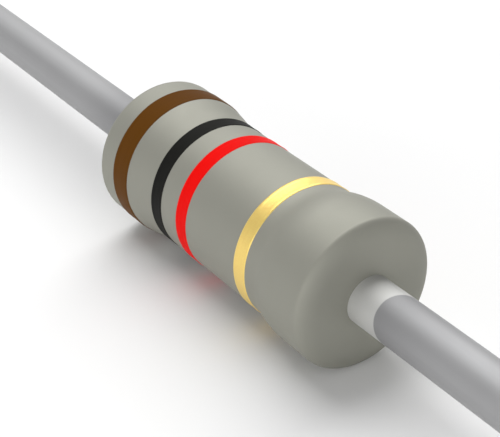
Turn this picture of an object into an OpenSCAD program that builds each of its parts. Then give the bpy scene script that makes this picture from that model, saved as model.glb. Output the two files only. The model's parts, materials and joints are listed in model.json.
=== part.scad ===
// Axial-lead film resistor. It lies along X with the middle of its body at the origin,
// and the end with the tolerance band points to +X. All sizes are in millimetres.
//
// A ceramic rod carries the resistive film. A pressed steel cap grips each end of the rod,
// a wire lead is butt-welded to each cap, and one coat of lacquer seals the whole body.
// The coat swells over the caps and sinks to a waist between them.

/* [Body] */
// Length of the coated body between the rims of its two end faces
body_len = 5.71; // [4.6:0.01:8]
// Diameter of the coat around the waist
waist_d = 2.3; // [1.8:0.05:4]

/* [Leads] */
// Diameter of the lead wire
lead_d = 0.8; // [0.5:0.05:1]
// Length of each lead, from the rim of the body's end face to its tip
lead_len = 16; // [4:0.5:40]
// Bevel that the shears leave around the cut end of a lead
cut_bevel = 0.06; // [0.02:0.01:0.15]
// Diameter of the upset foot of a lead, where it is welded to its cap
weld_d = 1.1; // [1:0.05:1.6]
// Height of that foot above the cap
weld_h = 0.17; // [0.05:0.01:0.2]

/* [Caps] */
// Thickness of the sheet that the caps are pressed from
cap_wall = 0.2; // [0.12:0.01:0.3]
// Length of a cap outside
cap_len = 0.9; // [0.6:0.05:1.2]
// Radius of the drawn corner of a cap, outside
cap_corner = 0.15; // [0.05:0.01:0.25]

/* [Rod and film] */
// Thickness of the resistive film
film_t = 0.03; // [0.02:0.005:0.06]
// Bevel on the edges of the ceramic rod
rod_bevel = 0.12; // [0.05:0.01:0.2]
// Width of the spiral cut that trims the film
groove_w = 0.1; // [0.06:0.01:0.2]
// Advance of the spiral cut in one turn
groove_pitch = 0.6; // [0.4:0.05:1]
// Uncut film between each cap and the end of the spiral
groove_margin = 0.4; // [0.1:0.05:0.8]

/* [Coat] */
// Thickness of the coat over the film, at the waist
coat_on_film = 0.26; // [0.18:0.01:0.34]
// Thickness of the coat around the caps
coat_on_cap = 0.165; // [0.09:0.005:0.3]
// Thickness of the coat over the ends of the caps
coat_on_face = 0.27; // [0.2:0.01:0.4]
// Rounding of the coat's end corners, along the axis
edge_along = 0.15; // [0.02:0.01:0.2]
// Rounding of the coat's end corners, across the axis
edge_across = 0.32; // [0.02:0.01:0.4]
// Height by which an end face would stand out from its rim, on the axis
face_dome = 0.035; // [0:0.005:0.06]
// Front slope, from the rim of the cap inwards to the waist
front_slope_in = 0.28; // [0.1:0.01:0.6]
// Front slope, from the rim of the cap outwards to the crest
front_slope_out = 0.42; // [0.2:0.01:0.7]
// Share of the front slope that is hollow, and not crowned
front_hollow = 0.39; // [0.1:0.01:0.9]
// Back slope, from the rim of the cap inwards to the waist
back_slope_in = 0.52; // [0.1:0.01:0.6]
// Back slope, from the rim of the cap outwards to the crest
back_slope_out = 0.43; // [0.2:0.01:0.7]
// Share of the back slope that is hollow, and not crowned
back_hollow = 0.52; // [0.1:0.01:0.9]

/* [Colour bands] */
// Thickness of the band paint
paint_t = 0.02; // [0.01:0.005:0.04]
// Width of the first band, on the back swelling
first_band_w = 0.425; // [0.2:0.005:0.6]
// Width of each of the other bands
band_w = 0.295; // [0.15:0.005:0.4]
// Rim of the back face to the brown band
brown_from_face = 0.51; // [0.3:0.01:0.7]
// Brown band to the black band
black_gap = 0.62; // [0.2:0.01:0.8]
// Black band to the red band
red_gap = 0.435; // [0.2:0.005:0.6]
// Rim of the front face to the gold band
gold_from_face = 1.505; // [0.8:0.005:1.65]

/* [Hidden] */

ROUND_FN = 96; // sides of a turned surface
CORNER_STEPS = 6; // chords in a rounded corner
FACE_STEPS = 4; // chords from there to the lead, over a domed face
SLOPE_STEPS = 10; // chords in a slope of the coat
TURN_STEPS = 30; // steps in one turn of the spiral cut

// Radii, from the waist inwards and then outwards over a cap
waist_r = waist_d / 2;
film_r = waist_r - coat_on_film;
core_r = film_r - film_t;
cap_r = film_r + cap_wall;
bulge_r = cap_r + coat_on_cap;
lead_r = lead_d / 2;
weld_r = weld_d / 2;

// Distances from the middle of the body to either side
face_x = body_len / 2; // rim of an end face
cap_x = face_x - coat_on_face;
core_x = cap_x - cap_wall;
rim_x = cap_x - cap_len;
film_x = core_x - rod_bevel;
lead_x = face_x + lead_len;
groove_x = rim_x - groove_margin;

// Back edges of the bands, along X
brown_x = brown_from_face - face_x;
black_x = brown_x + first_band_w + black_gap;
red_x = black_x + band_w + red_gap;
gold_x = face_x - gold_from_face - band_w;

// A quarter ellipse that turns the corner between a side of radius r and a face at x.
// The points are [x, r] and run from the side to the face.
function corner(x, r, along, across) = [
    for (i = [0:CORNER_STEPS])
        let (a = 90 * i / CORNER_STEPS)
        [x - along + along * sin(a), r - across + across * cos(a)]
];

// Front end of the coat, round its corner and in over its face to the lead, as [x, r] points.
// Each point then moves out by the dome, which is nothing at the crest and full on the axis.
flat_end = concat(
    corner(face_x, bulge_r, edge_along, edge_across),
    [
        for (i = [1:FACE_STEPS])
            [face_x, bulge_r - edge_across + (lead_r - bulge_r + edge_across) * i / FACE_STEPS]
    ]
);
domed_end = [for (p = flat_end) p + [face_dome * (1 - (p.y / bulge_r) ^ 2), 0]];

// The coat sinks from crest to waist in two arcs that meet on a common tangent: a hollow
// one that leaves the waist and a crowned one that joins the crest. Their radii add up to
// total, which follows from the rise and the run between the two ends.
function slope(waist_x, crest_x, hollow) =
    let (rise = bulge_r - waist_r)
    let (run = crest_x - waist_x)
    let (total = (run ^ 2 + rise ^ 2) / (2 * rise))
    let (hollow_r = hollow * total)
    let (crown_r = total - hollow_r)
    [
        for (i = [0:SLOPE_STEPS])
            let (along = run * i / SLOPE_STEPS)
            [
                waist_x + along,
                along < hollow * run
                    ? waist_r + hollow_r - sqrt(hollow_r ^ 2 - along ^ 2)
                    : bulge_r - crown_r + sqrt(crown_r ^ 2 - (run - along) ^ 2)
            ]
    ];

// Outer half outline of the coat from the waist to one lead, as [x, r] points
function half_skin(slope_in, slope_out, hollow) = concat(
    slope(rim_x - slope_in, rim_x + slope_out, hollow),
    domed_end
);

// Turns [x, r] points round to the other end of the body
function mirrored(points) = [for (i = [len(points) - 1:-1:0]) [-points[i].x, points[i].y]];

// Outer outline of the coat from the back lead to the front lead
skin = concat(
    mirrored(half_skin(back_slope_in, back_slope_out, back_hollow)),
    half_skin(front_slope_in, front_slope_out, front_hollow)
);

// The stretch of that outline between two places
function skin_between(a, b) = concat(
    [[a, lookup(a, skin)]],
    [for (p = skin) if (p.x > a && p.x < b) p],
    [[b, lookup(b, skin)]]
);

// Outside of the front cap from its rim to the foot of the lead
cap_outside = concat([[rim_x, cap_r]], corner(cap_x, cap_r, cap_corner, cap_corner));

// What the coat closes over at the front, from under its face back to the film
cavity = [
    [cap_x + weld_h, lead_r], [cap_x, weld_r],
    for (i = [len(cap_outside) - 1:-1:0]) cap_outside[i],
    [rim_x, film_r]
];

// Spins an outline of [x, r] points around the X axis
module turned(outline) {
    rotate([0, 90, 0])
        rotate_extrude($fn = ROUND_FN)
            polygon([for (p = outline) [p.y, p.x]]);
}

// Places what is drawn for the front at the back
module at_back() {
    mirror([1, 0, 0]) children();
}

// Ring of paint that hugs the coat from x to x + w
module band(x, w) {
    under = skin_between(x, x + w);
    turned(concat(under, [for (i = [len(under) - 1:-1:0]) under[i] + [0, paint_t]]));
}

// Cup pressed from steel sheet, over the front end of the rod
module cap() {
    turned(concat([[rim_x, film_r]], cap_outside, [[cap_x, 0], [core_x, 0], [core_x, film_r]]));
}

// Straight wire with an upset foot on the front cap and a sheared tip
module lead() {
    turned([
        [cap_x, 0], [cap_x, weld_r], [cap_x + weld_h, lead_r],
        [lead_x - cut_bevel, lead_r], [lead_x, lead_r - cut_bevel], [lead_x, 0]
    ]);
}

// Helical cutter of the trimming groove, along Z and centred on it: a slice of pie that
// turns as it rises. Its outer edge is a chord, so its corners reach well past the film.
module groove_cutter() {
    turns = 2 * groove_x / groove_pitch;
    half_angle = 180 * groove_w / groove_pitch;
    reach = 1.1 * film_r / cos(half_angle);
    linear_extrude(height = 2 * groove_x, center = true, twist = -360 * turns,
            slices = ceil(turns * TURN_STEPS))
        polygon([
            [0, 0],
            reach * [cos(half_angle), -sin(half_angle)],
            reach * [cos(half_angle), sin(half_angle)]
        ]);
}

module ceramic_core() {
    color("ivory")
        turned([
            [-core_x, 0], [-core_x, core_r - rod_bevel], [-film_x, core_r],
            [film_x, core_r], [core_x, core_r - rod_bevel], [core_x, 0]
        ]);
}

module resistive_film() {
    color("dimgray")
        difference() {
            turned([[-film_x, core_r], [-film_x, film_r], [film_x, film_r], [film_x, core_r]]);
            rotate([0, 90, 0]) groove_cutter();
        }
}

module end_cap_front() {
    color("silver") cap();
}

module end_cap_back() {
    color("silver") at_back() cap();
}

module lead_front() {
    color("lightgray") lead();
}

module lead_back() {
    color("lightgray") at_back() lead();
}

module coating() {
    color([0.63, 0.63, 0.59])
        turned(concat(skin, cavity, mirrored(cavity)));
}

module band_brown() {
    color([0.45, 0.27, 0.1]) band(brown_x, first_band_w);
}

module band_black() {
    color([0.12, 0.12, 0.12]) band(black_x, band_w);
}

module band_red() {
    color([0.95, 0.1, 0.08]) band(red_x, band_w);
}

module band_gold() {
    color([0.9, 0.76, 0.42]) band(gold_x, band_w);
}

ceramic_core();
resistive_film();
end_cap_front();
end_cap_back();
lead_front();
lead_back();
coating();
band_brown();
band_black();
band_red();
band_gold();
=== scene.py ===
# %% [markdown]
# # A film resistor
#
# The real part is a ceramic rod under a resistive film, with a pressed steel cap on each end, a tinned
# wire welded to each cap and one coat of grey lacquer over the whole body. Painted bands give its value.
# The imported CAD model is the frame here: every size that it holds is read from it, and each piece below
# stands in for one of its nodes. All lengths are in metres.

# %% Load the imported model
import json
import math

import bpy
import numpy as np
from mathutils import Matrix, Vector


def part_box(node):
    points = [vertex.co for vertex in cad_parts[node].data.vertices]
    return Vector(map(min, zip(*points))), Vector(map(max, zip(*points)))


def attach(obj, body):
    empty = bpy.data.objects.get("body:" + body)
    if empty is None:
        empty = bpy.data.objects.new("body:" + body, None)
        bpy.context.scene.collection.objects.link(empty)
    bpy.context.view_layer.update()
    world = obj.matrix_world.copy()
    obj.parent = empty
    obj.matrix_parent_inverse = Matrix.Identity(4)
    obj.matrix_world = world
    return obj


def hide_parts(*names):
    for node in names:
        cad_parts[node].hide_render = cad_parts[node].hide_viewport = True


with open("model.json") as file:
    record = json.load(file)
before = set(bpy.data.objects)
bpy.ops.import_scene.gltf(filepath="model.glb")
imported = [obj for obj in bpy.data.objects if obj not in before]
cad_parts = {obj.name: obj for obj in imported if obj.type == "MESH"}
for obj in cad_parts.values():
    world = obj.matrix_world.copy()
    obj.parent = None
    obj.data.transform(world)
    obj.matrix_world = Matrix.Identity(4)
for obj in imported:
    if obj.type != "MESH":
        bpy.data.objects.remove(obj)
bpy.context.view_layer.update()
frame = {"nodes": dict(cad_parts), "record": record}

print("nodes:", ", ".join(sorted(frame["nodes"])))

# %% [markdown]
# ## Sizes
#
# The body lies along X with its middle at the origin, so a node's highest X is a distance from the
# middle and its highest Z is a radius. The sizes could be typed in again, but read from the frame they
# stay right when the CAD model changes. What a box can't tell, such as the thickness of the paint or
# the rounding of a corner, is written where it is first needed.

# %% Sizes from the frame
MM = 0.001
LOW, HIGH = 0, 1
X, Z = 0, 2


def reach(node, end, axis):
    """One coordinate of the lowest or the highest corner of a CAD node's box."""
    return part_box(node)[end][axis]


PAINT = 0.02 * MM

joint_x = reach("coating", HIGH, X)
crest_r = reach("coating", HIGH, Z)
waist_r = reach("band_red", HIGH, Z) - PAINT
wire_r = frame["record"]["mounts"][0]["dims"]["r_mm"] * MM
tip_x = reach("lead_front", HIGH, X)
foot_r = reach("lead_front", HIGH, Z)
rim_x = reach("end_cap_front", LOW, X)
cap_x = reach("end_cap_front", HIGH, X)
cap_r = reach("end_cap_front", HIGH, Z)
rod_x = reach("ceramic_core", HIGH, X)
rod_r = reach("ceramic_core", HIGH, Z)
film_x = reach("resistive_film", HIGH, X)
film_r = reach("resistive_film", HIGH, Z)

print(f"body {2 * joint_x / MM:.2f} mm long")
print(f"body {2 * waist_r / MM:.2f} to {2 * crest_r / MM:.2f} mm across")
print(f"wire {2 * wire_r / MM:.2f} mm across, {2 * tip_x / MM:.2f} mm from tip to tip")

# %% [markdown]
# ## Camera
#
# The part is seen from close by, from above its gold-banded end, so its near lead looks much thicker
# than the far one. That depth comes from the distance, so the distance is set first and the lens then
# fills the picture. The middle of the body sits a hair off the middle of the view.

# %% Camera
VIEW_AZIMUTH = math.radians(54.96)
VIEW_ELEVATION = math.radians(31.33)
VIEW_DISTANCE = 22.63 * MM
VIEW_LENS = 101.5
BODY_RIGHT_OF_CENTRE = 0.08 * MM
BODY_ABOVE_CENTRE = 0.05 * MM


def toward(azimuth, elevation):
    """The direction from the part to something at that azimuth and height above the horizon.

    Azimuth 0 is on the -Y side and a quarter turn is on the +X side.
    """
    level = math.cos(elevation)
    return Vector((math.sin(azimuth) * level, -math.cos(azimuth) * level, math.sin(elevation)))


def aim(thing, place, target):
    """Puts a camera or a light at a place and turns its front to a target, with its top upwards."""
    thing.location = place
    thing.rotation_euler = (target - place).to_track_quat("-Z", "Y").to_euler()
    bpy.context.scene.collection.objects.link(thing)
    return thing


back = toward(VIEW_AZIMUTH, VIEW_ELEVATION)
rightwards = Vector((0, 0, 1)).cross(back).normalized()
upwards = back.cross(rightwards)
view_centre = -BODY_RIGHT_OF_CENTRE * rightwards - BODY_ABOVE_CENTRE * upwards

lens = bpy.data.cameras.new("camera")
lens.lens = VIEW_LENS
lens.clip_start = MM
lens.clip_end = 10.0
viewpoint = view_centre + back * VIEW_DISTANCE
camera = aim(bpy.data.objects.new("camera", lens), viewpoint, view_centre)
bpy.context.scene.camera = camera
print("camera at", [round(c / MM, 2) for c in camera.location], "mm")

# %% [markdown]
# ## Turned surfaces
#
# Everything here but the spiral cut was drawn, pressed or spun about one axis, so one helper makes
# nearly every piece. It takes an outline of distances along the axis and radii and carries it round in
# equal steps. A Screw modifier can spin an outline too, but here the outline may change on the way
# round, which gives a band its uneven edge and a cut wire its slant. The corners are worked out as
# whole arrays, because a loop over fifty thousand of them is slow.

# %% Helper for turned pieces
AROUND = 192
CREASE = math.radians(38)
angle = np.linspace(0, 2 * np.pi, AROUND, endpoint=False)[None, :]


def make_object(name, corners, faces):
    """An object at the origin, from an array of corners and a list of faces, smooth but for creases."""
    mesh = bpy.data.meshes.new(name)
    mesh.from_pydata(corners.tolist(), [], faces)
    mesh.shade_smooth()
    mesh.set_sharp_from_angle(angle=CREASE)
    made = bpy.data.objects.new(name, mesh)
    bpy.context.scene.collection.objects.link(made)
    return made


def turned(name, x, r):
    """A closed surface turned about the X axis.

    x and r are arrays of one row for each outline point, with one column, or one for each step round.
    The corner of row i at angle a is (x, r sin a, r cos a). An outline that starts and ends on the axis
    gets a single corner there, and any other is joined end to start. With X growing along its outer
    side, its faces point outwards.
    """
    x = np.broadcast_to(x, (len(x), AROUND))
    r = np.broadcast_to(r, (len(r), AROUND))
    on_axis = r[0].max() == 0 and r[-1].max() == 0
    rows = slice(1, -1) if on_axis else slice(None)
    rings = np.stack([x, r * np.sin(angle), r * np.cos(angle)], axis=-1)[rows]
    count = len(rings)
    step = np.arange(AROUND)
    after = (step + 1) % AROUND
    row = np.arange(count - 1 if on_axis else count)[:, None] * AROUND
    above = (row + AROUND) % (count * AROUND)
    quads = np.stack([row + step, above + step, above + after, row + after], axis=-1)
    corners = rings.reshape(-1, 3)
    faces = quads.reshape(-1, 4).tolist()
    if on_axis:
        ends = np.array([[x[0, 0], 0, 0], [x[-1, 0], 0, 0]])
        first, last = len(corners), len(corners) + 1
        corners = np.concatenate([corners, ends])
        top = (count - 1) * AROUND
        faces += np.stack([np.full(AROUND, first), step, after], axis=-1).tolist()
        faces += np.stack([top + step, np.full(AROUND, last), top + after], axis=-1).tolist()
    made = make_object(name, corners, faces)
    print(f"{name}: {len(corners)} corners, {len(faces)} faces")
    return made


def outline(*stretches):
    """Joins stretches of [x, r] points into one column of x and one of r."""
    points = np.concatenate([np.asarray(s, float).reshape(-1, 2) for s in stretches])
    return points[:, :1], points[:, 1:]


def line(start, end, count):
    """count points on the straight line between two [x, r] points, both ends left out."""
    share = np.linspace(0, 1, count + 2)[1:-1, None]
    return np.asarray(start) * (1 - share) + np.asarray(end) * share


def mirrored(x, r):
    """The same outline on the other end of the body, run so that its faces still point outwards."""
    return -x[::-1], r[::-1]


def waves(along, around, size, seed, lobes=5):
    """A gentle unevenness that closes on itself round the piece, from -size to size.

    It is a mean of sine waves, each with a whole number of crests round the piece and its own slant
    and start, which the seed settles.
    """
    draw = np.random.default_rng(seed)
    total = 0.0
    for crests in range(1, lobes + 1):
        slant, start = draw.uniform(-1, 1), draw.uniform(0, 2 * np.pi)
        total = total + np.sin(crests * around + slant * along / MM + start)
    return size * total / lobes


# %% [markdown]
# ## Lacquer coat
#
# The real coat is rolled on wet. It swells over each cap and sinks to a waist between them, in a hollow
# curve and then a crowned one. A subdivided cage would only come near that. Two arcs that share a
# tangent give it exactly: their radii add up to half of run times run plus rise times rise, over rise.
# The front slope is short and turns clearly at its foot, and the back one is long and soft. The end
# corners are quarter ellipses, and each face domes a little towards its wire. The inside of the coat
# closes on the film, the caps and the wires, so the piece is one closed shell.

# %% Outer radius of the coat
FRONT_SLOPE = dict(waist=rim_x - 0.28 * MM, crest=rim_x + 0.42 * MM, hollow=0.39)
BACK_SLOPE = dict(waist=rim_x - 0.52 * MM, crest=rim_x + 0.43 * MM, hollow=0.52)


def slope_radius(x, waist, crest, hollow):
    """Radius at x from the waist to the crest of one end, as two arcs on a common tangent."""
    rise, run = crest_r - waist_r, crest - waist
    total = (run**2 + rise**2) / (2 * rise)
    hollow_r, crown_r = hollow * total, (1 - hollow) * total
    along = np.clip(x - waist, 0, run)
    low = waist_r + hollow_r - np.sqrt(np.maximum(hollow_r**2 - along**2, 0))
    high = crest_r - crown_r + np.sqrt(crown_r**2 - (run - along) ** 2)
    return np.where(along < hollow * run, low, high)


def coat_radius(x):
    """Outer radius of the coat at any x between its end corners."""
    return np.where(x > 0, slope_radius(x, **FRONT_SLOPE), slope_radius(-x, **BACK_SLOPE))


print(f"waist from x = {-BACK_SLOPE['waist'] / MM:.2f} to {FRONT_SLOPE['waist'] / MM:.2f} mm")

# %% Coat
UNEVEN = 0.0015 * MM
FACE_DOME = 0.035 * MM
EDGE_ALONG = 0.15 * MM
EDGE_ACROSS = 0.32 * MM
WELD_H = 0.17 * MM
CAP_CORNER = 0.15 * MM
SIDE_STATIONS = 170
FACE_STATIONS = 8
CORNER = np.linspace(0, np.pi / 2, 13)[:, None]


def dome(r):
    """How far an end face stands out at radius r: all of FACE_DOME on the axis, nothing at the crest."""
    return FACE_DOME * (1 - (r / crest_r) ** 2)


def quarter(x, r, along, across):
    """[x, r] points of a quarter ellipse from the side at radius r to the face at x."""
    return np.hstack([x - along + along * np.sin(CORNER), r - across + across * np.cos(CORNER)])


def domed(points):
    """Moves the [x, r] points of a flat end face out by its dome."""
    return points + np.hstack([dome(points[:, 1:]), np.zeros((len(points), 1))])


face_x = joint_x - dome(wire_r)
side_end = face_x - EDGE_ALONG
side_x = np.linspace(-side_end, side_end, SIDE_STATIONS)[1:-1, None]
side = np.hstack([side_x, coat_radius(side_x)])
end_corner = domed(quarter(face_x, crest_r, EDGE_ALONG, EDGE_ACROSS))
end_face = domed(line([face_x, crest_r - EDGE_ACROSS], [face_x, wire_r], FACE_STATIONS))
cap_end = quarter(cap_x, cap_r, CAP_CORNER, CAP_CORNER)
front_inside = np.concatenate([
    [[joint_x, wire_r], [cap_x + WELD_H, wire_r], [cap_x, foot_r]],
    cap_end[::-1],
    [[rim_x, cap_r], [rim_x, film_r]],
])
flip = np.array([-1, 1])
coat_x, coat_r = outline(
    (end_corner * flip)[::-1], side, end_corner, end_face, front_inside,
    (front_inside * flip)[::-1], (end_face * flip)[::-1],
)
outside = (np.abs(coat_x) < side_end) & (coat_r > waist_r - UNEVEN)
sag = waves(coat_x, angle, UNEVEN, seed=3) - UNEVEN
coating = turned("coat", coat_x, coat_r + np.where(outside, sag, 0))

# %% [markdown]
# ## Paint bands
#
# A wheel rolls each band on as the body spins. Wet paint draws back from its edges and dries with a low
# bead along them, and its edges wander by a few thousandths of a millimetre. A band could be a stripe
# in the coat's own colour, but then it would have no edge to catch the light. So it is a thin ring that
# rises from nothing at its edges to the bead, dips a little in between, and follows the coat beneath.
# The CAD ring has the height of the wet paint, and about half of that is left when it dries. The ring's
# underside lies just inside the coat, where it can't show.

# %% Bands
EDGE_WANDER = 0.006 * MM
EDGE_LOBES = 9
BEAD_WIDTH = 0.035 * MM
DRY_SHARE = 0.38
BEAD_SHARE = 0.12
SUNK = 0.004 * MM
TOP_STATIONS = 41


def paint_height(inset):
    """Thickness of the dry paint at a distance in from its edge: a steep rise, a bead, then the film."""
    rise = 1 - (1 - np.clip(inset / BEAD_WIDTH, 0, 1)) ** 3
    bead = np.exp(-(((inset - BEAD_WIDTH) / BEAD_WIDTH) ** 2))
    return PAINT * rise * (DRY_SHARE + BEAD_SHARE * bead)


def paint_band(node, seed):
    """A ring of paint over the place of a CAD band.

    Its stations follow a cosine across the band, so they crowd at both edges, where the bead is.
    Every fourth one is enough for the underside.
    """
    level = np.zeros((1, 1))
    low = reach(node, LOW, X) + waves(level, angle, EDGE_WANDER, seed, EDGE_LOBES)
    high = reach(node, HIGH, X) + waves(level, angle, EDGE_WANDER, seed + 1, EDGE_LOBES)
    share = (1 - np.cos(np.linspace(0, np.pi, TOP_STATIONS)))[:, None] / 2
    top_x = low + (high - low) * share
    inset = np.minimum(top_x - low, high - top_x)
    top_r = coat_radius(top_x) - UNEVEN + paint_height(inset)
    under_x = top_x[::-4]
    under_r = coat_radius(under_x) - UNEVEN - SUNK
    ring_x = np.concatenate([top_x, under_x])
    ring_r = np.concatenate([top_r, under_r])
    return turned(node + "_paint", ring_x, ring_r)


BANDS = ["band_brown", "band_black", "band_red", "band_gold"]
paint = {node: paint_band(node, seed=10 * i) for i, node in enumerate(BANDS)}

# %% [markdown]
# ## Leads
#
# A lead is drawn wire. Its hidden end is upset into a foot by the weld. Its free end is sheared: the
# blade rolls one side of the rim over and leaves the face a little slanted. A bevelled cylinder would
# have too neat an end, and sculpting one would be hard to repeat, so the cut is part of the outline.
# The slant is a shift along X that grows across the wire, and the rolled rim is a quarter round whose
# size changes on the way round.

# %% Leads
SLANT = 0.05 * MM
ROLL_SMALL = 0.03 * MM
ROLL_LARGE = 0.11 * MM
BLADE_SIDE = 0.6
FOOT_STATIONS = 3
STEM_STATIONS = 60
CUT_RINGS = 7


def wire_outline():
    """x and r of the front lead, from the middle of its foot to the middle of its cut end.

    The rolled rim's size goes from small to large with the cosine of the angle to the blade's side,
    and the face's shift is that same cosine times the radius.
    """
    wide = np.ones_like(angle)
    facing = (1 + np.cos(angle - BLADE_SIDE)) / 2
    roll = ROLL_SMALL + (ROLL_LARGE - ROLL_SMALL) * facing
    turn = CORNER[1:]
    rim_r = wire_r - roll + roll * np.cos(turn)
    rim_back = roll - roll * np.sin(turn)
    face_r = (wire_r - ROLL_LARGE) * np.linspace(1, 0, CUT_RINGS)[1:, None] * wide
    weld = [cap_x, foot_r]
    neck = [cap_x + WELD_H, wire_r]
    stem_end = [tip_x - 2 * ROLL_LARGE, wire_r]
    stem_x, stem_r = outline(
        [[cap_x, 0]], line([cap_x, 0], weld, FOOT_STATIONS),
        [weld], line(weld, neck, FOOT_STATIONS),
        [neck], line(neck, stem_end, STEM_STATIONS), [stem_end],
    )
    end_r = np.concatenate([wire_r * wide, rim_r, face_r])
    end_back = np.concatenate([roll, rim_back, np.zeros_like(face_r)])
    lean = SLANT * (1 + np.cos(angle - BLADE_SIDE) * end_r / wire_r) / 2
    end_x = tip_x - end_back - lean
    return np.concatenate([stem_x * wide, end_x]), np.concatenate([stem_r * wide, end_r])


wire = wire_outline()
lead_front = turned("lead_front_wire", *wire)
lead_back = turned("lead_back_wire", *mirrored(*wire))

# %% [markdown]
# ## Caps and rod
#
# These are sealed in the coat and the CAD model's own solids could stand for them, but the model built
# here holds them, so they have their true form. A cap is drawn from sheet and has a rounded corner
# outside and a smaller one inside. The rod is cut and tumbled, which bevels its edges. Both are turned
# pieces, and a back piece is the front one's outline mirrored, so neither can drift from the other.

# %% Caps and rod
INNER_CORNER = 0.06 * MM


def cap_outline():
    """x and r of the front cap, from the middle of its inside to the middle of its outside."""
    inside = np.hstack([
        rod_x - INNER_CORNER + INNER_CORNER * np.cos(CORNER),
        film_r - INNER_CORNER + INNER_CORNER * np.sin(CORNER),
    ])
    return outline(
        [[rod_x, 0]], line([rod_x, 0], inside[0], 4), inside, line(inside[-1], [rim_x, film_r], 6),
        [[rim_x, film_r], [rim_x, cap_r]], line([rim_x, cap_r], cap_end[0], 6), cap_end,
        line(cap_end[-1], [cap_x, 0], 4), [[cap_x, 0]],
    )


cap = cap_outline()
cap_front = turned("cap_front_cup", *cap)
cap_back = turned("cap_back_cup", *mirrored(*cap))

shoulder = [film_x, rod_r]
rod_edge = [rod_x, rod_r - (rod_x - film_x)]
rod_x_half, rod_r_half = outline(
    [[0, rod_r]], line([0, rod_r], shoulder, 8),
    [shoulder, rod_edge], line(rod_edge, [rod_x, 0], 3), [[rod_x, 0]],
)
back_x, back_r = mirrored(rod_x_half, rod_r_half)
whole_x = np.concatenate([back_x[:-1], rod_x_half])
whole_r = np.concatenate([back_r[:-1], rod_r_half])
rod = turned("ceramic_rod", whole_x, whole_r)

# %% [markdown]
# ## Film and its spiral cut
#
# The film covers the rod, and a spiral cut between the caps lengthens the current's path until the
# resistance is right. The cut closes nowhere and crosses the tube's seam on each turn, so no single
# grid fits it. A tube and a bar wound in a helix are both easy grids, and a boolean takes one from the
# other. The bar reaches past the tube on both sides, because a cut that ends on a surface is fragile.

# %% Film
CUT_WIDTH = 0.1 * MM
CUT_PITCH = 0.6 * MM
CUT_MARGIN = 0.4 * MM
CUT_PAST = 3 * PAINT
CUT_STEPS_A_TURN = 96


def helical_bar(half_length, inside, outside_r):
    """A bar wound about X. At angle a its middle is at (x, r sin a, r cos a), and x grows with a."""
    turns = 2 * half_length / CUT_PITCH
    a = np.linspace(0, 2 * np.pi * turns, round(turns * CUT_STEPS_A_TURN))[:, None]
    side_x = np.array([[-1, 1, 1, -1]]) * CUT_WIDTH / 2
    side_r = np.array([[inside, inside, outside_r, outside_r]])
    x = a / (2 * np.pi) * CUT_PITCH - half_length + side_x
    corners = np.stack([x, side_r * np.sin(a), side_r * np.cos(a)], axis=-1).reshape(-1, 3)
    row = np.arange(len(a) - 1)[:, None] * 4
    step, after = np.arange(4), np.roll(np.arange(4), -1)
    sides = np.stack([row + step, row + after, row + 4 + after, row + 4 + step], axis=-1)
    last = 4 * (len(a) - 1)
    ends = [[3, 2, 1, 0], [last, last + 1, last + 2, last + 3]]
    return make_object("cutter", corners, sides.reshape(-1, 4).tolist() + ends)


def cut_away(piece, cutter):
    """Takes the cutter from the piece for good, removes it, and returns how many faces are left."""
    cut = piece.modifiers.new("cut", "BOOLEAN")
    cut.operation = "DIFFERENCE"
    cut.solver = "EXACT"
    cut.object = cutter
    seen = piece.evaluated_get(bpy.context.evaluated_depsgraph_get())
    mesh = bpy.data.meshes.new_from_object(seen)
    piece.modifiers.clear()
    piece.data = mesh
    bpy.data.objects.remove(cutter)
    return len(mesh.polygons)


tube_x, tube_r = outline(
    line([-film_x, film_r], [film_x, film_r], 40),
    [[film_x, film_r], [film_x, rod_r], [-film_x, rod_r], [-film_x, film_r]],
)
film = turned("film_tube", tube_x, tube_r)
spiral = helical_bar(rim_x - CUT_MARGIN, rod_r - CUT_PAST, film_r + CUT_PAST)
print("film faces after the cut:", cut_away(film, spiral))

# %% [markdown]
# ## Writing finishes
#
# A finish is a small graph of nodes on the Principled shader. Written by hand that is pages of links, so
# two classes shorten it. The first wraps a number socket, so that its arithmetic reads as ordinary
# Python and adds the Math nodes. The second makes every other node from its settings and inputs.

# %% Numbers that change over a surface


class Number:
    """A number that changes over a surface. Arithmetic on it adds Math nodes to its finish."""

    def __init__(self, finish, socket):
        self.finish, self.socket = finish, socket

    def maths(self, operation, first, second):
        """The outcome of one Math node on two values."""
        node = self.finish.node("ShaderNodeMath", {"operation": operation}, {0: first, 1: second})
        return Number(self.finish, node.outputs[0])

    def __add__(self, other):
        return self.maths("ADD", self, other)

    def __sub__(self, other):
        return self.maths("SUBTRACT", self, other)

    def __rsub__(self, other):
        return self.maths("SUBTRACT", other, self)

    def __mul__(self, other):
        return self.maths("MULTIPLY", self, other)

    def __truediv__(self, other):
        return self.maths("DIVIDE", self, other)

    def __pow__(self, other):
        return self.maths("POWER", self, other)

    __radd__ = __add__
    __rmul__ = __mul__

    def magnitude(self):
        """The number without its sign."""
        return self.maths("ABSOLUTE", self, 0)


# %% Finishes made of nodes


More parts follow.
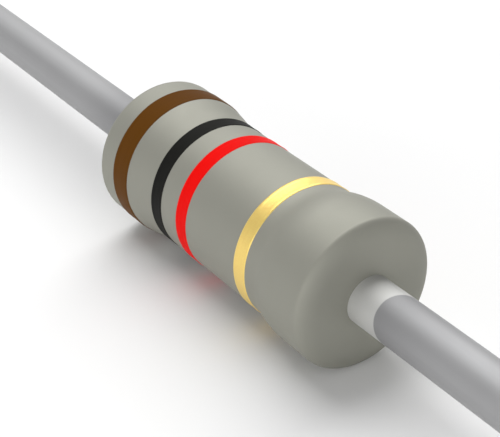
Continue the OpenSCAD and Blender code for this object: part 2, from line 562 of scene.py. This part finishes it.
class Finish:
    """A material on the Principled shader, with its nodes made in code."""

    def __init__(self, name, **constants):
        self.material = bpy.data.materials.new(name)
        self.material.use_nodes = True
        self.tree = self.material.node_tree
        self.shader = self.tree.nodes["Principled BSDF"]
        for socket, value in constants.items():
            self.shader.inputs[socket.replace("_", " ")].default_value = value
        self.place = self.node("ShaderNodeTexCoord").outputs["Object"]

    def node(self, kind, settings=None, inputs=None):
        """A node of that type. Its settings go first, since some of them change its sockets."""
        made = self.tree.nodes.new(kind)
        for name, value in (settings or {}).items():
            setattr(made, name, value)
        for name, value in (inputs or {}).items():
            self.plug(value, made.inputs[name])
        return made

    def plug(self, value, socket):
        """Links a socket or a Number to a socket, or writes a plain value on it."""
        value = getattr(value, "socket", value)
        if isinstance(value, bpy.types.NodeSocket):
            self.tree.links.new(value, socket)
        else:
            socket.default_value = value

    def feed(self, socket, value):
        """Feeds one socket of the Principled shader."""
        self.plug(value, self.shader.inputs[socket])

    def noise(self, features_per_mm, detail=2.0, stretch=(1, 1, 1)):
        """Noise from 0 to 1 with that many features a millimetre, finer along an axis by its stretch."""
        scale = [features_per_mm * s / MM for s in stretch]
        placed = self.node("ShaderNodeMapping", inputs={"Vector": self.place, "Scale": scale})
        made = self.node("ShaderNodeTexNoise", inputs={
            "Vector": placed.outputs[0], "Scale": 1.0, "Detail": detail})
        return Number(self, made.outputs[0])

    def axes(self):
        """The three coordinates in millimetres."""
        split = self.node("ShaderNodeSeparateXYZ", inputs={0: self.place})
        return [Number(self, out) / MM for out in split.outputs]

    def step(self, value, start, end):
        """0 below start, 1 above end, and smooth in between."""
        made = self.node("ShaderNodeMapRange", {"interpolation_type": "SMOOTHSTEP"}, {
            "Value": value, "From Min": start, "From Max": end})
        return Number(self, made.outputs[0])

    def blend(self, share, first, second):
        """A colour between two others: the first where share is 0, and the second where it is 1."""
        made = self.node("ShaderNodeMix", {"data_type": "RGBA"}, {0: share, 6: first, 7: second})
        return made.outputs[2]

    def relief(self, height, depth):
        """Bumps the surface by a height from 0 to 1 times a depth in metres."""
        made = self.node("ShaderNodeBump", inputs={"Height": height, "Distance": depth})
        self.feed("Normal", made.outputs[0])

    def done(self):
        """Prints what was made and hands the material over."""
        print(f"{self.material.name}: {len(self.tree.nodes)} nodes")
        return self.material


def shade(colour, factor):
    """A linear colour made lighter or darker, with its alpha."""
    return tuple(c * factor for c in colour) + (1.0,)


# %% [markdown]
# ## Coat finish
#
# The lacquer is a warm grey, satin and opaque. Its pigment settles a little unevenly, which shows as
# broad pale clouds and a very fine grain, and its surface has the faint peel that any sprayed or rolled
# coat dries with. The resin reflects rather well and spreads what it reflects, so the lamps show on it
# as one broad soft streak along the top. An image of lacquer could be wrapped on, but it would need a
# seam. Noise in the piece's own coordinates has none, and it stays fine however close one looks.

# %% Coat finish
COAT_GREY = (0.163, 0.162, 0.141)


def lacquer():
    """Warm grey satin lacquer: clouds and grain in its colour, and peel in its relief."""
    made = Finish("lacquer", IOR=1.8, Specular_IOR_Level=1.0, Specular_Tint=(1.0, 0.995, 0.86, 1))
    clouds = made.noise(0.7, 3.0)
    grain = made.noise(38.0, 2.0)
    pigment = clouds * 0.7 + grain * 0.3
    peel = made.noise(3.6, 1.5) * 0.85 + grain * 0.15
    made.feed("Base Color", made.blend(pigment, shade(COAT_GREY, 0.95), shade(COAT_GREY, 1.05)))
    made.feed("Roughness", 0.57 + 0.08 * made.noise(2.2, 3.0))
    made.relief(peel, 0.0016 * MM)
    return made.done()


coat_finish = lacquer()

# %% [markdown]
# ## Paint finishes
#
# Band paint is opaque and nearly matt, and its little gloss keeps its own colour, so that it stays deep
# under the lamps. The wheel that rolls it on leaves streaks that run round the body, so the noise behind
# its colour is drawn out across the axis. Towards the edges, where the paint thins, a trace of the coat
# shows through. The gold is different: it is a clear varnish full of metal flakes, so about half of it
# is metallic, and each flake tips the light its own way.

# %% Paint finishes
BROWN = (0.100, 0.038, 0.005)
BLACK = (0.010, 0.010, 0.009)
RED = (0.77, 0.005, 0.004)
DEEP_GOLD = (0.84, 0.58, 0.16, 1)
PALE_GOLD = (0.90, 0.70, 0.22, 1)


def edge_share(made, node):
    """1 at both edges of a band, falling to 0 over a few hundredths of a millimetre."""
    along = made.axes()[X]
    low, high = reach(node, LOW, X) / MM, reach(node, HIGH, X) / MM
    middle = (low + high) / 2
    half = (high - low) / 2
    return made.step((along - middle).magnitude(), half - 0.03, half + 0.004)


def band_paint(node, colour, thin):
    """Rolled opaque paint. thin is how much of the coat shows through at its edges."""
    gloss = [c / max(colour) for c in colour] + [1.0]
    made = Finish(node + "_paint", IOR=1.5, Specular_IOR_Level=0.05, Specular_Tint=gloss)
    streaks = made.noise(1.2, 3.0, stretch=(30, 1, 1))
    body = made.blend(streaks, shade(colour, 0.93), shade(colour, 1.07))
    made.feed("Base Color", made.blend(edge_share(made, node) * thin, body, shade(COAT_GREY, 1)))
    made.feed("Roughness", 0.50 + 0.10 * made.noise(3.0, 2.0))
    made.relief(streaks * 0.6 + made.noise(5.0, 2.0) * 0.4, 0.0010 * MM)
    return made.done()


def gold_paint(node):
    """Gold flakes in varnish: about half metallic, with a fine sparkle in tilt and gloss."""
    made = Finish(node + "_paint", IOR=1.5, Specular_IOR_Level=0.2)
    flakes = made.node("ShaderNodeTexVoronoi", inputs={
        "Vector": made.place, "Scale": 55 / MM}).outputs["Color"]
    flake = Number(made, made.node("ShaderNodeSeparateColor", inputs={0: flakes}).outputs[0])
    streaks = made.noise(1.2, 3.0, stretch=(24, 1, 1))
    sparkle = flake * 0.5 + streaks * 0.5
    made.feed("Base Color", made.blend(sparkle, DEEP_GOLD, PALE_GOLD))
    made.feed("Metallic", 0.45 + 0.25 * flake)
    made.feed("Roughness", 0.34 + 0.16 * flake)
    made.relief(sparkle, 0.0010 * MM)
    return made.done()


paint_finish = {
    "band_brown": band_paint("band_brown", BROWN, thin=0.10),
    "band_black": band_paint("band_black", BLACK, thin=0.06),
    "band_red": band_paint("band_red", RED, thin=0.06),
    "band_gold": gold_paint("band_gold"),
}

# %% [markdown]
# ## Wire finish
#
# The lead is copper wire with a thin layer of tin. Drawing leaves fine lines along it, and the tin
# dries with soft dull patches. Next to the body a short root has a paler skin that ends on a slant. Its
# pale tone is partly painted light, raised to make up for the shade that the body casts on the root.
# Past the root the wire's colour starts darker, as painted shade near the body, and clears within two
# millimetres. On the sheared end the copper shows, with tin smeared over its rim. Each of these could be
# a set of faces with its own material, but a mask worked out from the distance along the wire can
# slant, fade and be ragged.

# %% Wire finish
ROOT_END = joint_x / MM + 0.70
ROOT_SLANT = 0.16
# where the painted shade near the body has faded out
SHADE_END = joint_x / MM + 2.5
CUT_FROM = tip_x / MM - 0.14
CUT_TO = tip_x / MM - 0.1
TIN_DARK = (0.315, 0.315, 0.32, 1)
TIN_PALE = (0.38, 0.38, 0.385, 1)
# painted shade: darker wire colour next to the body
TIN_SHADED = (0.25, 0.25, 0.255, 1)
# pale root skin, partly painted light that makes up for the body's shade on the root
ROOT_TIN_AND_LIGHT = (0.52, 0.52, 0.505, 1)
COPPER = (0.58, 0.29, 0.18, 1)
SMEAR_FROM = 0.31
SMEAR_TO = 0.35


def tinned_wire():
    """Satin tin lined along X; pale root, partly painted light; painted shade past it; copper at the cut.
    """
    made = Finish("tinned_wire")
    along, across, height = made.axes()
    out = along.magnitude()
    radius = (across**2 + height**2) ** 0.5
    ragged = made.noise(4.0, 2.0)
    facing = (height - across) / radius * math.sqrt(0.5)
    root_end = ROOT_END - ROOT_SLANT * facing + 0.02 * ragged
    root = made.step(root_end - out, -0.01, 0.01)
    lines = made.noise(9.0, 3.0, stretch=(0.03, 1, 1))
    patches = made.noise(0.9, 3.0)
    # painted shade: the wire is darker at the body and clears going outwards
    out_of_shade = made.step(out, joint_x / MM, SHADE_END)
    smeared = made.step(radius + 0.06 * ragged, SMEAR_FROM, SMEAR_TO)
    core = made.step(out, CUT_FROM, CUT_TO) * (1 - smeared)
    skin = made.blend(lines * 0.6 + patches * 0.4, TIN_DARK, TIN_PALE)
    skin = made.blend(out_of_shade, TIN_SHADED, skin)
    # the pale root covers the wire here; its tone is partly painted light
    skin = made.blend(root, skin, ROOT_TIN_AND_LIGHT)
    made.feed("Base Color", made.blend(core, skin, COPPER))
    made.feed("Metallic", 0.50 - 0.10 * root)
    made.feed("Roughness", 0.55 + 0.10 * patches + 0.1 * core)
    made.relief(lines, 0.0009 * MM)
    return made.done()


tin = tinned_wire()

# %% [markdown]
# ## Hidden finishes
#
# The rod is fine unglazed ceramic, the film is a dark metallic skin on it, and the caps are tin-plated
# steel with the marks of drawing along their sides. Flat colours would do while the coat is on. The
# model can be taken apart, though, so each gets one noise that drives its colour, gloss and relief.

# %% Hidden finishes


def ceramic():
    """Off-white ceramic with a fine grain."""
    made = Finish("bare_ceramic", IOR=1.6)
    grain = made.noise(25.0, 4.0)
    made.feed("Base Color", made.blend(grain, (0.72, 0.69, 0.61, 1), (0.84, 0.82, 0.76, 1)))
    made.feed("Roughness", 0.55 + 0.2 * grain)
    made.relief(grain, 0.002 * MM)
    return made.done()


def resistive():
    """Dark, half-metallic film that carries the grain of the rod under it."""
    made = Finish("resistive_film")
    grain = made.noise(18.0, 4.0)
    made.feed("Base Color", made.blend(grain, (0.035, 0.033, 0.03, 1), (0.075, 0.07, 0.06, 1)))
    made.feed("Metallic", 0.4 + 0.3 * grain)
    made.feed("Roughness", 0.35 + 0.2 * grain)
    made.relief(grain, 0.0015 * MM)
    return made.done()


def plated_steel():
    """Tin-plated steel with drawing lines along X."""
    made = Finish("plated_steel", Metallic=1.0)
    lines = made.noise(12.0, 3.0, stretch=(0.05, 1, 1))
    made.feed("Base Color", made.blend(lines, (0.52, 0.51, 0.48, 1), (0.66, 0.65, 0.62, 1)))
    made.feed("Roughness", 0.28 + 0.14 * lines)
    made.relief(lines, 0.001 * MM)
    return made.done()


rod_finish = ceramic()
film_finish = resistive()
steel = plated_steel()

# %% [markdown]
# ## Dressing the frame
#
# Each piece stands for one CAD node, rides on the only body there is, and names the record's material
# slot that its finish belongs to. One table says all of that, so a missing piece is easy to spot.

# %% Dress the pieces
DRESS = [
    (coating, "coating", "coat", coat_finish),
    (paint["band_brown"], "band_brown", "paint_brown", paint_finish["band_brown"]),
    (paint["band_black"], "band_black", "paint_black", paint_finish["band_black"]),
    (paint["band_red"], "band_red", "paint_red", paint_finish["band_red"]),
    (paint["band_gold"], "band_gold", "paint_gold", paint_finish["band_gold"]),
    (lead_front, "lead_front", "lead_wire", tin),
    (lead_back, "lead_back", "lead_wire", tin),
    (cap_front, "end_cap_front", "cap_steel", steel),
    (cap_back, "end_cap_back", "cap_steel", steel),
    (rod, "ceramic_core", "ceramic", rod_finish),
    (film, "resistive_film", "film", film_finish),
]
for piece, node, slot, material in DRESS:
    piece.data.materials.clear()
    piece.data.materials.append(material)
    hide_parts(node)
    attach(piece, "root")
print("dressed", len(DRESS), "pieces")

# %% [markdown]
# ## Floor and light
#
# The part lies on a plain white table. The key is a large softbox overhead, slid towards the far end,
# where the body and the wires mirror it to the camera as one long soft streak. It is short along the
# body, so the slopes of the coat turn away from it and go darker, which brings out the swellings. A low
# wide box lights the near side and a squarer one the end face. The sky fills the rest. It is nearly
# white around the horizon, so that a low view has a pale backdrop, and dimmer overhead. An image of a
# studio could light the part as well, but three lamps and a sky are easier to understand and to change.

# %% Floor and light
FLOOR_SIZE = 0.9
LAMP_DISTANCE = 0.3


def plain_floor(z):
    """A pale matt floor at that height."""
    half = FLOOR_SIZE / 2
    corners = np.array([[-half, -half, z], [half, -half, z], [half, half, z], [-half, half, z]])
    floor = make_object("floor", corners, [[0, 1, 2, 3]])
    paper = Finish("paper", Base_Color=(0.87, 0.87, 0.87, 1), Roughness=0.9, Specular_IOR_Level=0.1)
    floor.data.materials.append(paper.done())
    return floor


def softbox(name, azimuth, elevation, width, height, power, slide=0.0):
    """A soft rectangular lamp that faces the part's axis and isn't seen itself.

    Its place is given by two angles in degrees, and then slid along the axis.
    """
    lamp = bpy.data.lights.new(name, "AREA")
    lamp.shape = "RECTANGLE"
    lamp.size, lamp.size_y = width, height
    lamp.energy = power
    faced = Vector((slide, 0, 0))
    place = faced + toward(math.radians(azimuth), math.radians(elevation)) * LAMP_DISTANCE
    made = aim(bpy.data.objects.new(name, lamp), place, faced)
    made.visible_camera = False
    return made


def pale_sky(low, high, fade_from, fade_to):
    """A white sky that fades from low at the horizon to high overhead, between two sines of height."""
    sky = bpy.data.worlds.new("sky")
    sky.use_nodes = True
    nodes, links = sky.node_tree.nodes, sky.node_tree.links
    heading = nodes.new("ShaderNodeTexCoord")
    split = nodes.new("ShaderNodeSeparateXYZ")
    fade = nodes.new("ShaderNodeMapRange")
    fade.interpolation_type = "SMOOTHSTEP"
    limits = {"From Min": fade_from, "From Max": fade_to, "To Min": low, "To Max": high}
    for socket, value in limits.items():
        fade.inputs[socket].default_value = value
    links.new(heading.outputs["Generated"], split.inputs[0])
    links.new(split.outputs[Z], fade.inputs["Value"])
    links.new(fade.outputs[0], nodes["Background"].inputs["Strength"])
    nodes["Background"].inputs["Color"].default_value = (1, 1, 1, 1)
    bpy.context.scene.world = sky


floor_z = reach("band_brown", LOW, Z)
plain_floor(floor_z)
softbox("key", azimuth=180, elevation=74, width=0.2, height=0.5, power=1.66, slide=-0.175)
softbox("side", azimuth=26, elevation=12, width=0.45, height=0.14, power=0.39)
softbox("front", azimuth=80, elevation=30, width=0.36, height=0.28, power=0.21)
pale_sky(low=0.88, high=0.24, fade_from=0.08, fade_to=0.32)
bpy.context.scene.view_settings.view_transform = "Standard"
print("floor at z =", round(floor_z / MM, 3), "mm, with", len(bpy.data.lights), "lamps")
